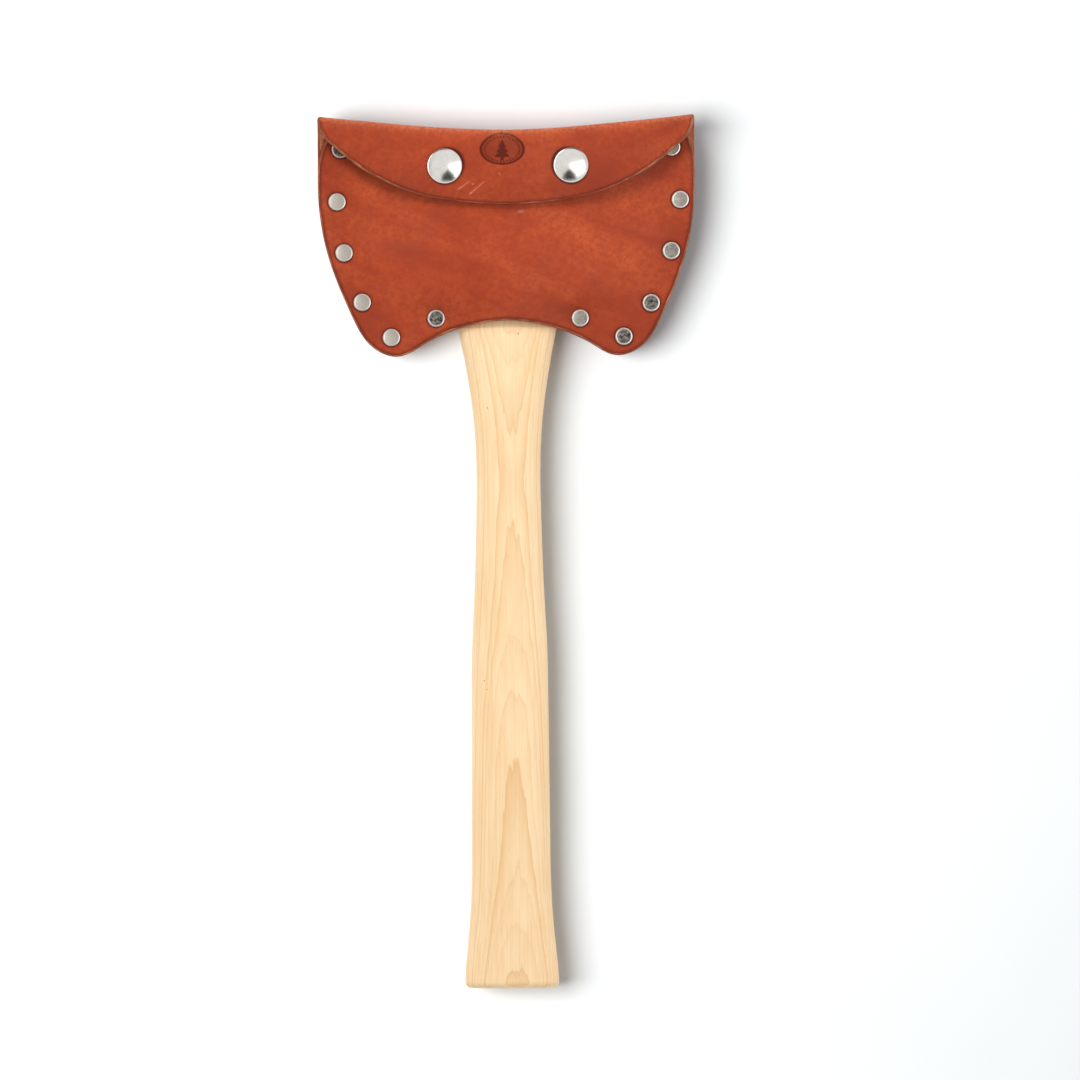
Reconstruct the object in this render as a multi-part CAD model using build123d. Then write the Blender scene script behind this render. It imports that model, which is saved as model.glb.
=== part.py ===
from build123d import *
import math
import os

# A double-bit hatchet lying on its back in a riveted leather sheath whose flap is held shut by two snaps.
# Millimetres. +Y runs from the butt of the handle to the top of the head, and +Z out of the sheath's front.
# Everything is drawn with Y measured from the butt and Z from the middle of the blade, then placed once.

# ---------------------------------------------------------------- driving dimensions
OVERALL = 392.6          # butt to the top corners of the sheath
LEATHER = 3.0            # thickness of every leather piece but the welts
WELT = 3.2               # thickness of the spacer strips between the two panels
SHEATH_HALF = 84.8       # half the width of the sheath at its top
RIM_Z = WELT / 2         # inner face of both panels where they are riveted flat
PLATEAU_Z = 11.4         # inner face of both panels over the eye of the head
REST = PLATEAU_Z + LEATHER
FRONT_TOP = 382.5        # top edge of the front panel, under the flap
FRONT_CORNER = 33.0      # radius of the front panel's top corners
CORNER_START = 369.2     # where those corners leave the straight sides

# inner face of a panel: stations along Y, each with four (x, z) break points from the middle out
PLATEAU_HALF = 10.0
TENT = (
    (275.0, ((PLATEAU_HALF, PLATEAU_Z), (29.5, RIM_Z), (40.0, RIM_Z), (50.0, RIM_Z))),
    (301.5, ((PLATEAU_HALF, PLATEAU_Z), (29.5, RIM_Z), (40.0, RIM_Z), (50.0, RIM_Z))),
    (305.5, ((PLATEAU_HALF, PLATEAU_Z), (31.0, 2.6), (42.0, 2.6), (55.0, RIM_Z))),
    (310.0, ((PLATEAU_HALF, PLATEAU_Z), (34.0, 6.2), (46.0, 4.6), (60.0, RIM_Z))),
    (316.0, ((PLATEAU_HALF, PLATEAU_Z), (36.0, 7.4), (50.0, 4.8), (63.0, RIM_Z))),
    (325.0, ((PLATEAU_HALF, PLATEAU_Z), (36.0, 7.7), (54.0, 4.6), (67.0, RIM_Z))),
    (345.0, ((PLATEAU_HALF, PLATEAU_Z), (36.0, 7.7), (58.0, 4.0), (72.0, RIM_Z))),
    (375.0, ((PLATEAU_HALF, PLATEAU_Z), (36.0, 7.7), (58.0, 4.0), (70.5, RIM_Z))),
    (400.0, ((PLATEAU_HALF, PLATEAU_Z), (36.0, 7.7), (58.0, 4.0), (70.5, RIM_Z))),
)

# the fold over the top of the head, at each (x, top line y, inner z of the flap) from the middle out
FOLD = (
    (PLATEAU_HALF, 386.0, 17.0),
    (36.0, 387.7, 14.5),
    (58.0, 389.7, 12.4),
    (70.5, 391.0, 11.2),
    (SHEATH_HALF, OVERALL, 9.8),
)
BACK_BEND = 8.0          # outer radius where the back panel turns up
FRONT_BEND = 4.5         # outer radius where it turns down again into the flap

# right half of the sheath's outline, from the straight side round the lobe to the middle of the arch
SIDE_STRAIGHT = 362.0
OUTLINE = ((81.0, 332.0), (70.0, 303.0), (60.1, 288.2), (49.0, 284.4), (37.0, 290.2), (20.9, 297.0))
ARCH_TOP = 300.2
FLAP_EDGE = ((77.2, 378.5), (69.3, 371.9), (55.5, 363.4), (39.2, 357.2), (21.6, 353.9), (0.0, 352.3))
WELT_INNER = ((35.0, 307.0), (41.0, 301.0), (46.5, 297.5), (53.0, 299.5), (61.0, 311.5), (69.2, 335.0))
WELT_INNER_HALF = 72.6
WELT_END = 28.0          # the welts stop here, clear of the handle

# rivets from the top down each side, set by hand and so not quite alike, and their size
RIVETS = (
    (74.5, 377.8), (78.2, 354.2), (74.0, 331.2), (64.8, 307.8), (52.4, 292.8), (32.8, 301.2),
    (-74.5, 377.8), (-76.2, 354.2), (-73.2, 331.2), (-65.2, 308.9), (-52.2, 293.0), (-32.0, 301.5),
)
RIVET_HEAD_R = 3.95
RIVET_HEAD_T = 1.1
RIVET_SHANK_R = 1.6
RIVET_SINK = 0.4         # how far each head is drawn into the leather
RIVET_BITE = 0.6         # how far the shank reaches into the back cap
RIVET_ROUND = 0.45
DISH_R = 2.7
DISH_DEPTH = 0.12

# snaps: place, tilt with the leather, and the stack between the two leathers along the snap's own axis
SNAP_X = 28.4
LEFT_SNAP_X = 26.8
SNAP_Y = 369.7
SNAP_TILT = 6.8
SNAP_SINK = 0.15
CAP_R = 7.9
CAP_EDGE = 0.5
CAP_RISE = 2.5
CAP_WALL = 0.7
BARREL_R = 2.25
BARREL_BORE = 1.8
FLARE_R = 2.9
SOCKET_R = 5.75
SOCKET_MOUTH = 3.2
SOCKET_CAVITY = 3.4
SPRING_R = 3.0
SPRING_WIRE = 0.35
STUD_BASE_R = 5.25
STUD_BASE_T = 0.5
STUD_NECK_R = 2.4
STUD_HEAD_R = 2.95
STUD_TOP = 2.4
STUD_BORE = 2.0
EYELET_FLANGE_R = 5.0
EYELET_T = 0.6
EYELET_R = 1.7
EYELET_BORE = 1.3

# head
EDGE_R = 99.6            # radius of each cutting edge, in plan
EDGE_CENTRE = (-29.75, 361.9)
EDGE_HALF_LAND = 0.15
BEVEL_SLOPE = 0.28
TOE = (68.0, 381.0)
HEEL = (52.0, 305.0)
EYE_TOP = 378.5
EYE_BOTTOM = 309.0
EYE_BOSS_HALF = 22.0
CHEEK = ((0.0, 11.0), (8.0, 10.7), (14.0, 9.6), (20.0, 8.0), (30.0, 6.4), (40.0, 5.2), (56.0, 3.4), (74.0, 1.8))

# handle: (y, half width, half thickness, squareness), then the tongue in the eye
HANDLE = (
    (0.0, 21.0, 10.7, 2.5),
    (10.0, 20.7, 10.6, 2.5),
    (24.0, 19.35, 10.4, 2.45),
    (44.0, 18.0, 10.2, 2.4),
    (85.0, 17.55, 10.2, 2.35),
    (130.0, 17.25, 10.1, 2.35),
    (160.0, 16.65, 10.0, 2.35),
    (190.0, 15.25, 9.9, 2.35),
    (225.0, 14.4, 9.8, 2.35),
    (250.0, 15.05, 9.8, 2.35),
    (268.0, 17.0, 9.9, 2.35),
    (282.0, 19.3, 10.1, 2.35),
    (297.0, 22.2, 10.2, 2.35),
)
SHOULDER_TOP = 306.0
TONGUE_HALF = (18.0, 8.0)
TONGUE_TOP = 381.0
BUTT_ROUND = 2.7
SECTION_POINTS = 28
WEDGE_DEEP = 52.0
WEDGE_THICK = (1.2, 5.0)
STEEL_WEDGE_WIDE = 12.0
STEEL_WEDGE_DEEP = 22.0
STEEL_WEDGE_THICK = (0.6, 2.8)

UP = (Align.CENTER, Align.CENTER, Align.MIN)


# ---------------------------------------------------------------- helpers
def across(y):
    """The X-Z plane at this Y."""
    return Plane(origin=(0, y, 0), x_dir=(1, 0, 0), z_dir=(0, -1, 0))


def along(x):
    """The Y-Z plane at this X."""
    return Plane(origin=(x, 0, 0), x_dir=(0, 1, 0), z_dir=(1, 0, 0))


def polygon(points):
    return make_face(Polyline(*points, close=True))


def both_sides(points):
    """(x, v) points from the middle out, as one run from left to right."""
    left = [(-x, v) for x, v in reversed(points) if x > 0]
    return left + list(points)


def turned(points):
    """A solid of revolution about Z from closed (radius, z) points."""
    return revolve(Plane.XZ * polygon(points), Axis.Z)


def upright(face, low, high):
    """A plan face as a prism from Z = low to Z = high."""
    return Pos(0, 0, low) * extrude(face, high - low, dir=(0, 0, 1))


def tapered_plate(wide, thick, deep, top):
    """A wedge under Y = top: wide along X, its thickness along Z growing upward."""
    thin, fat = thick
    side = [(top - deep, -thin / 2), (top - deep, thin / 2), (top, fat / 2), (top, -fat / 2)]
    return Pos(-wide / 2, 0, 0) * extrude(along(0) * polygon(side), wide, dir=(1, 0, 0))


def solid(shape):
    """The one solid in a result."""
    return shape.solids()[0]


# ---------------------------------------------------------------- leather
def side_curves(top, closing):
    """The sheath's outline: up both sides to Y = top, closed by the points of the top edge."""
    right = [(SHEATH_HALF, SIDE_STRAIGHT), *OUTLINE, (0, ARCH_TOP)]
    left = [(-x, y) for x, y in reversed(right)]
    curve = Line((SHEATH_HALF, top), right[0])
    curve += Spline(*right, tangents=((0, -1), (-1, 0)))
    curve += Spline(*left, tangents=((-1, 0), (0, 1)))
    curve += Line(left[-1], (-SHEATH_HALF, top))
    return curve + Polyline(*closing)


def tent_solid():
    """A panel's full thickness before it is cut to its outline, front side up."""
    sections = []
    reach = SHEATH_HALF + 5
    for y, bends in TENT:
        inner = both_sides([*bends, (reach, RIM_Z)])
        outer = [(x, z + LEATHER) for x, z in reversed(inner)]
        sections.append(across(y) * polygon(inner + outer))
    return loft(sections, ruled=True)


def fold_edge(setback):
    """Plan points of the fold's top line, moved down by setback, from left to right."""
    return both_sides([(x, top - setback) for x, top, _ in FOLD])


def back_plan():
    edge = fold_edge(BACK_BEND)
    return make_face(side_curves(edge[-1][1], edge))


def front_plan():
    """The front panel's outline, with round top corners cut off straight at FRONT_TOP."""
    plan = make_face(side_curves(FRONT_TOP, [(-SHEATH_HALF, FRONT_TOP), (SHEATH_HALF, FRONT_TOP)]))
    height = CORNER_START + FRONT_CORNER
    rounded = Pos(0, height) * Rectangle(2 * SHEATH_HALF, height, align=(Align.CENTER, Align.MAX))
    return plan & fillet(rounded.vertices().group_by(Axis.Y)[-1], FRONT_CORNER)


def welt_solid():
    """The right-hand spacer strip between the panels."""
    inner = [*WELT_INNER, (WELT_INNER_HALF, SIDE_STRAIGHT)]
    edge = Spline(*inner, tangents=((1, -0.6), (0, 1)))
    rest = Polyline((WELT_INNER_HALF, SIDE_STRAIGHT), (WELT_INNER_HALF, OVERALL), (0, OVERALL), (0, inner[0][1]), inner[0])
    room = make_face(edge + rest)
    strip = upright(front_plan(), -RIM_Z, RIM_Z) - upright(room, -WELT, WELT)
    keep = Pos(WELT_END, 0, -WELT) * Box(SHEATH_HALF, OVERALL, 2 * WELT, align=(Align.MIN,) * 3)
    return solid(strip & keep)


def fold_section(top, back, front):
    """Y-Z section of the fold: its two bends and the flat between, between outer faces Z = back and Z = front."""
    low, high = (top - BACK_BEND, back + BACK_BEND), (top - FRONT_BEND, front - FRONT_BEND)
    curve = CenterArc(low, BACK_BEND, -90, 90) + Line((top, low[1]), (top, high[1]))
    curve += CenterArc(high, FRONT_BEND, 0, 90) + Line((high[0], front), (high[0], front - LEATHER))
    curve += CenterArc(high, FRONT_BEND - LEATHER, 0, 90)
    curve += Line((top - LEATHER, high[1]), (top - LEATHER, low[1]))
    curve += CenterArc(low, BACK_BEND - LEATHER, -90, 90) + Line((low[0], back + LEATHER), (low[0], back))
    return make_face(curve)


def fold_solid():
    """The leather from the back panel's top edge, over the head, to the flap."""
    tent_top = [*TENT[-1][1], (SHEATH_HALF, RIM_Z)]
    half = []
    for (x, top, flap_z), (_, panel_z) in zip(FOLD, tent_top):
        half.append((x, fold_section(top, -panel_z - LEATHER, flap_z + LEATHER)))
    sections = [along(-x) * face for x, face in reversed(half)]
    sections += [along(x) * face for x, face in half]
    return loft(sections, ruled=True)


def flap_solid():
    """The front flap: flat along Y, falling away to both sides, with a curved lower edge."""
    inner = both_sides([(x, z) for x, _, z in FOLD])
    outer = [(x, z + LEATHER) for x, z in reversed(inner)]
    bar = extrude(across(OVERALL) * polygon(inner + outer), OVERALL / 2, dir=(0, -1, 0))
    top = fold_edge(FRONT_BEND)
    lower = [top[-1], *FLAP_EDGE]
    lower += [(-x, y) for x, y in reversed(lower[:-1])]
    plan = make_face(Spline(*lower) + Polyline(*top))
    return solid(bar & upright(plan, 0, 2 * REST))


# ---------------------------------------------------------------- rivets and snaps
def rivet_head():
    """A flat round head with a rounded rim and a faintly dished middle, standing on Z = 0."""
    head = Cylinder(RIVET_HEAD_R, RIVET_HEAD_T, align=UP)
    head = fillet(head.edges().sort_by(Axis.Z)[-1], RIVET_ROUND)
    return head - Pos(0, 0, RIVET_HEAD_T - DISH_DEPTH) * Cylinder(DISH_R, RIVET_HEAD_T, align=UP)


def rivet_post():
    """The front half of a rivet: its head, and the shank that reaches into the back cap."""
    grip = 2 * (RIM_Z + LEATHER - RIVET_SINK)
    shank = Pos(0, 0, -grip - RIVET_BITE) * Cylinder(RIVET_SHANK_R, grip + RIVET_BITE, align=UP)
    return solid(rivet_head() + shank)


def rivet_cap():
    """The back half: a head with a blind socket for the shank."""
    socket = Cylinder(RIVET_SHANK_R, RIVET_BITE, align=UP)
    return solid(rivet_head() - socket)


def rivet_group(piece, back):
    seat = RIM_Z + LEATHER - RIVET_SINK
    turn = Rot(180, 0, 0) if back else Rot(0, 0, 0)
    height = -seat if back else seat
    return [solid(Pos(x, y, height) * turn * piece) for x, y in RIVETS]


def panel_z_at_snap(x=SNAP_X):
    """Outer face of the front panel at a snap this far from the middle."""
    (x0, z0), (x1, z1) = TENT[-1][1][:2]
    return z0 + (z1 - z0) * (x - x0) / (x1 - x0) + LEATHER


def flap_z_at_snap():
    """Inner face of the flap at the snaps."""
    (x0, _, z0), (x1, _, z1) = FOLD[:2]
    return z0 + (z1 - z0) * (SNAP_X - x0) / (x1 - x0)


# heights along a snap's own axis, from the panel's outer face
SNAP_GAP = (flap_z_at_snap() - panel_z_at_snap()) * math.cos(math.radians(SNAP_TILT))
SOCKET_TOP = SNAP_GAP + SNAP_SINK
SOCKET_LOW = 0.6
SOCKET_LIP = 0.2
SOCKET_ROOF = 0.8
CAP_SEAT = SNAP_GAP + LEATHER - SNAP_SINK
FLARE_T = 0.2


def snap_cap():
    """The domed cap on the outside of the flap, with the hollow barrel that clinches the socket."""
    rim, crown = CAP_SEAT + CAP_EDGE, CAP_SEAT + CAP_RISE
    rise = crown - rim
    dome_r = (CAP_R ** 2 + rise ** 2) / (2 * rise)
    spread = math.degrees(math.asin(CAP_R / dome_r))
    outline = Polyline((0, crown), (0, CAP_SEAT), (CAP_R, CAP_SEAT), (CAP_R, rim))
    outline += CenterArc((0, crown - dome_r), dome_r, 90 - spread, spread)
    dome = revolve(Plane.XZ * make_face(outline), Axis.Z)
    hollow = Pos(0, 0, CAP_SEAT) * Cylinder(CAP_R - 2.2, CAP_WALL, align=UP)
    roof = SOCKET_TOP - SOCKET_ROOF
    low = roof - FLARE_T
    barrel = turned([
        (BARREL_BORE, low), (FLARE_R, low), (FLARE_R, roof), (BARREL_R, roof),
        (BARREL_R, CAP_SEAT + CAP_WALL), (BARREL_BORE, CAP_SEAT + CAP_WALL),
    ])
    return solid(dome - hollow + barrel)


def snap_socket():
    """The socket under the flap: a cup whose lip keeps the ring spring in."""
    roof = SOCKET_TOP - SOCKET_ROOF
    return solid(turned([
        (SOCKET_MOUTH, SOCKET_LOW), (SOCKET_R, SOCKET_LOW), (SOCKET_R, SOCKET_TOP), (BARREL_R, SOCKET_TOP),
        (BARREL_R, roof), (SOCKET_CAVITY, roof), (SOCKET_CAVITY, SOCKET_LOW + SOCKET_LIP),
        (SOCKET_MOUTH, SOCKET_LOW + SOCKET_LIP),
    ]))


def snap_spring():
    """The split ring spring that grips the stud."""
    ring = Pos(0, 0, SOCKET_LOW + SOCKET_LIP + SPRING_WIRE) * Torus(SPRING_R, SPRING_WIRE)
    gap = Pos(SPRING_R, 0, SOCKET_LOW + SOCKET_LIP + SPRING_WIRE) * Box(2, 0.8, 2)
    return solid(ring - gap)


def snap_stud():
    """The stud on the front panel: a wide base, a neck, and a rounded head."""
    neck_top = SOCKET_LOW + SOCKET_LIP + 2 * SPRING_WIRE + 0.05
    low = -SNAP_SINK
    return solid(turned([
        (EYELET_R, low), (STUD_BASE_R, low), (STUD_BASE_R, low + STUD_BASE_T), (STUD_NECK_R, low + STUD_BASE_T),
        (STUD_NECK_R, neck_top - 0.15), (STUD_HEAD_R, neck_top + 0.15), (STUD_HEAD_R, STUD_TOP - 0.35),
        (STUD_HEAD_R - 0.6, STUD_TOP), (0, STUD_TOP), (0, STUD_TOP - 0.4), (STUD_BORE, STUD_TOP - 0.4),
        (STUD_BORE, low + STUD_BASE_T), (EYELET_R, low + STUD_BASE_T),
    ]))


def snap_eyelet():
    """The eyelet inside the front panel, its barrel flared inside the stud."""
    back = -LEATHER + SNAP_SINK
    top = -SNAP_SINK + STUD_BASE_T
    return solid(turned([
        (EYELET_BORE, back - EYELET_T), (EYELET_FLANGE_R, back - EYELET_T), (EYELET_FLANGE_R, back),
        (EYELET_R, back), (EYELET_R, top), (STUD_BORE, top), (STUD_BORE, top + FLARE_T),
        (EYELET_BORE, top + FLARE_T),
    ]))


def at_snap(piece, side):
    """A snap piece, moved to the right (side = 1) or left (side = -1) snap."""
    out = SNAP_X if side > 0 else LEFT_SNAP_X
    place = Pos(side * out, SNAP_Y, panel_z_at_snap(out)) * Rot(0, side * SNAP_TILT, 0)
    return solid(place * piece)


# ---------------------------------------------------------------- hatchet
def handle_section(y, half_wide, half_thick, squareness):
    """A rounded section of the handle at this Y."""
    points = []
    for i in range(SECTION_POINTS):
        angle = 2 * math.pi * i / SECTION_POINTS
        c, s = math.cos(angle), math.sin(angle)
        x = math.copysign(abs(c) ** (2 / squareness), c) * half_wide
        z = math.copysign(abs(s) ** (2 / squareness), s) * half_thick
        points.append((x, z))
    return across(y) * make_face(Spline(*points, periodic=True))


def tongue_solid(low, high):
    """The part of the handle that fills the eye, and the shape of the eye itself."""
    return extrude(handle_section(low, *TONGUE_HALF, 2), high - low, dir=(0, 1, 0))


def wooden_wedge_solid():
    plate = tapered_plate(3 * TONGUE_HALF[0], WEDGE_THICK, WEDGE_DEEP, TONGUE_TOP)
    return plate & tongue_solid(SHOULDER_TOP, TONGUE_TOP)


def steel_wedge_solid():
    """The small steel wedge, driven across the wooden one."""
    plate = tapered_plate(STEEL_WEDGE_WIDE, STEEL_WEDGE_THICK, STEEL_WEDGE_DEEP, TONGUE_TOP)
    return Rot(0, 90, 0) * plate


def handle_solid():
    grip = loft([handle_section(*station) for station in HANDLE])
    grip = fillet(grip.edges().sort_by(Axis.Y)[0], BUTT_ROUND)
    shoulder = loft([handle_section(*HANDLE[-1]), handle_section(SHOULDER_TOP, *TONGUE_HALF, 2)])
    return grip + shoulder + tongue_solid(SHOULDER_TOP, TONGUE_TOP)


def head_plan():
    """Both cutting edges, joined by the hollowed top and bottom of the head."""
    cx, cy = EDGE_CENTRE
    middle = (cx + EDGE_R, cy)
    boss_x = EYE_BOSS_HALF
    curve = ThreePointArc(TOE, middle, HEEL)
    curve += Spline(HEEL, (33, 311.5), (boss_x, EYE_BOTTOM), tangents=((-1, 0.55), (-1, -0.1)))
    curve += Line((boss_x, EYE_BOTTOM), (-boss_x, EYE_BOTTOM))
    curve += Spline((-boss_x, EYE_BOTTOM), (-33, 311.5), (-HEEL[0], HEEL[1]), tangents=((-1, 0.1), (-1, -0.55)))
    curve += ThreePointArc((-HEEL[0], HEEL[1]), (-middle[0], middle[1]), (-TOE[0], TOE[1]))
    curve += Spline((-TOE[0], TOE[1]), (-boss_x, EYE_TOP), tangents=((1, -0.12), (1, 0)))
    curve += Line((-boss_x, EYE_TOP), (boss_x, EYE_TOP))
    curve += Spline((boss_x, EYE_TOP), TOE, tangents=((1, 0), (1, 0.12)))
    return make_face(curve)


def bevel_solid(side):
    """A double cone about the centre of a cutting edge, sharp at that edge."""
    thick = EDGE_HALF_LAND + BEVEL_SLOPE * EDGE_R
    half = [(0, -thick), (EDGE_R, -EDGE_HALF_LAND), (EDGE_R, EDGE_HALF_LAND), (0, thick)]
    return Pos(side * EDGE_CENTRE[0], EDGE_CENTRE[1], 0) * turned(half)


def head_solid():
    cheek = both_sides(CHEEK)
    bar = extrude(across(OVERALL) * polygon(cheek + [(x, -z) for x, z in reversed(cheek)]), OVERALL / 2, dir=(0, -1, 0))
    blank = upright(head_plan(), -REST, REST) & bar
    blank = blank & bevel_solid(1) & bevel_solid(-1)
    return solid(blank - tongue_solid(SHOULDER_TOP, TONGUE_TOP))


# ---------------------------------------------------------------- assembly
def save(name, *solids):
    """Write one node, moved so that the origin is under the middle of the whole object."""
    placed = [Pos(0, -OVERALL / 2, REST) * piece for piece in solids]
    export_step(placed[0] if len(placed) == 1 else Compound(children=placed), f"parts/{name}.step")


def make_hatchet():
    wooden, steel = wooden_wedge_solid(), steel_wedge_solid()
    save("axe_head", head_solid())
    save("handle", solid(handle_solid() - wooden - steel))
    save("wooden_wedge", solid(wooden - steel))
    save("steel_wedge", solid(steel))


def make_sheath(posts, caps):
    tent = tent_solid()
    front = tent & upright(front_plan(), 0, 2 * REST)
    back = mirror(tent, Plane.XY) & upright(back_plan(), -2 * REST, 0)
    welts = {"welt_right": welt_solid()}
    welts["welt_left"] = mirror(welts["welt_right"], Plane.YZ)
    for side, name in ((1, "right"), (-1, "left")):
        stud, eyelet = at_snap(snap_stud(), side), at_snap(snap_eyelet(), side)
        front = front - stud - eyelet
        save(f"snap_stud_{name}", stud)
        save(f"snap_eyelet_{name}", eyelet)
    for post, cap in zip(posts, caps):
        front = front - post
        back = back - post - cap
        for name in welts:
            welts[name] = welts[name] - post
    save("front_panel", solid(front))
    save("back_panel", solid(back))
    save("rivet_posts", *posts)
    save("rivet_caps", *caps)
    for name, welt in welts.items():
        save(name, solid(welt))


def make_flap():
    flap = flap_solid()
    for side, name in ((1, "right"), (-1, "left")):
        cap, socket = at_snap(snap_cap(), side), at_snap(snap_socket(), side)
        flap = flap - cap - socket
        save(f"snap_cap_{name}", cap)
        save(f"snap_socket_{name}", socket)
        save(f"snap_spring_{name}", at_snap(snap_spring(), side))
    save("flap", solid(flap))
    save("flap_fold", solid(fold_solid()))


os.makedirs("parts", exist_ok=True)
make_hatchet()
make_sheath(rivet_group(rivet_post(), False), rivet_group(rivet_cap(), True))
make_flap()
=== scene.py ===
import math
from collections import namedtuple

import bpy
import numpy as np
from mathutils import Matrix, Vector
from mathutils.geometry import delaunay_2d_cdt


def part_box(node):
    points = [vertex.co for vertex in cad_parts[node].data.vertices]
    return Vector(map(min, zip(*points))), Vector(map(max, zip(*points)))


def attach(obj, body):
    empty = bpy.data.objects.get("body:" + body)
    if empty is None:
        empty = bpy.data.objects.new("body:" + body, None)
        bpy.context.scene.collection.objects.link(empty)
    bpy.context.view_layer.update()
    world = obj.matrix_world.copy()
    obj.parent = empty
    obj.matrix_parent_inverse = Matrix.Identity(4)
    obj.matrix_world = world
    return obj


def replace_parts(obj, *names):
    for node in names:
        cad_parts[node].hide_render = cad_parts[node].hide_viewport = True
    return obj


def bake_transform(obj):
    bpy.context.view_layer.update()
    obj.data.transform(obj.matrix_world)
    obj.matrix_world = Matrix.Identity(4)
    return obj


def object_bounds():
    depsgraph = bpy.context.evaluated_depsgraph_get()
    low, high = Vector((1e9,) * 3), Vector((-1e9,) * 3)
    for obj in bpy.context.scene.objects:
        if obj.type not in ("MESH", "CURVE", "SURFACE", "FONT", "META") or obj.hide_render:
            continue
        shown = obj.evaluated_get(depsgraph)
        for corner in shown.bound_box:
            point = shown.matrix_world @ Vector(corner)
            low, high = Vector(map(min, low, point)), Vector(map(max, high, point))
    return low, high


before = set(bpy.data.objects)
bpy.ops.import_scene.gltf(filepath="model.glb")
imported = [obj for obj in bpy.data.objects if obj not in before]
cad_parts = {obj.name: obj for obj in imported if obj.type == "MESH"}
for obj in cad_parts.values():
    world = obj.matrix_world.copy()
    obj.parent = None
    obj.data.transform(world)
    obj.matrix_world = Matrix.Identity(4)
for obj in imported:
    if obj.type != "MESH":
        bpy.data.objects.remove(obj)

# A double-bit hatchet in a riveted leather sheath, seen from straight above.
# Leather and lathe work is drawn in millimetres, Y from the butt and Z from the middle of the blade, like
# the CAD, and is turned into metres in the row frame when a mesh is made.

cad_low, cad_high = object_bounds()
OVERALL = (cad_high[1] - cad_low[1]) * 1000
MM = 0.001
# how high the middle of the blade lies: the back panel reaches 14.4 mm below it
REST = 1000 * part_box("back_panel")[0].z + 14.4
SHIFT = np.array([0.0, -OVERALL / 2, REST])

# leather
THICK = 3.0
RIM = 1.6
SHEATH_HALF = 84.8
SIDE_STRAIGHT = 362.0
FRONT_TOP = 382.5
CORNER_R = 33.0
CORNER_STARTS = (369.2, 365.6)
# the worn corner at the right end of the fold: X, and how far along the leather from the seam
FOLD_CORNER = (
    (SHEATH_HALF - 1.5, 0), (SHEATH_HALF - 0.8, 0.5), (SHEATH_HALF - 0.3, 1.1), (SHEATH_HALF, 1.9),
)
ARCH_TOP = 300.2
OUTLINE = [(81.0, 332.0), (70.0, 303.0), (60.1, 288.2), (49.0, 284.4), (37.0, 290.2), (20.9, 297.0)]
FLAP_EDGE = [
    (84.0, 387.2), (82.2, 383.6), (80.2, 381.2), (77.2, 378.5), (69.3, 371.9), (55.5, 363.4),
    (39.2, 357.2), (21.6, 353.9), (0.0, 352.3),
]
TOP_MIDDLE = 385.8
BACK_BEND = 8.0
FRONT_BEND = 4.5
# across the panel at each height: (half width, height of its inner face)
TENT = [
    (275.0, [(10, 11.4), (29.5, 1.6), (40, 1.6), (50, 1.6)]),
    (301.5, [(10, 11.4), (29.5, 1.6), (40, 1.6), (50, 1.6)]),
    (305.5, [(10, 11.4), (31, 2.6), (42, 2.6), (55, 1.6)]),
    (310.0, [(10, 11.4), (34, 6.2), (46, 4.6), (60, 1.6)]),
    (316.0, [(10, 11.4), (36, 7.4), (50, 4.8), (63, 1.6)]),
    (325.0, [(10, 11.4), (36, 7.7), (54, 4.6), (67, 1.6)]),
    (345.0, [(10, 11.4), (36, 7.7), (58, 4.0), (72, 1.6)]),
    (375.0, [(10, 11.4), (36, 7.7), (58, 4.0), (70.5, 1.6)]),
    (410.0, [(10, 11.4), (36, 7.7), (58, 4.0), (70.5, 1.6)]),
]
RIVETS = [
    (74.5, 377.8), (78.2, 354.2), (74.0, 331.2), (64.8, 307.8), (52.4, 292.8), (32.8, 301.2),
    (-74.5, 377.8), (-76.2, 354.2), (-73.2, 331.2), (-65.2, 308.9), (-52.2, 293.0), (-32.0, 301.5),
]
# how dark each rivet's dished face is: partly tarnish, partly painted shade and painted dark reflection, as
# at the top left rivet in the flap's shadow
TARNISH_AND_SHADE = [0.3, 0.45, 0.65, 1.0, 0.95, 0.5, 0.9, 0.04, 0.04, 0.12, 0.06, 0.95]
RIVET_R = 3.95
SNAP = (28.4, 369.7)
SNAP_LEFT_SHIFT = 1.6
CAP_R = 7.9
# a cap's seat, out and up, its lean in degrees, and how much the flap rises for each mm a cap is shifted
CAP_SEAT = (29.14, 18.01)
CAP_LEAN = 4.0
FLAP_SLOPE = 0.12
NICK = (6.4, 349.1)
SCRATCHED = (-15.5, 360.2)
STAMP = (-1.7, 376.9)
STAMP_HALF = (10.5, 7.2)

# the right cutting edge: its arc, half its thickness there, and how steeply the ground bevel rises from it
EDGE_R = 99.6
EDGE_CENTRE = (-29.75, 361.9)
EDGE_HALF_LAND = 0.15
BEVEL_SLOPE = 0.28


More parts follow.
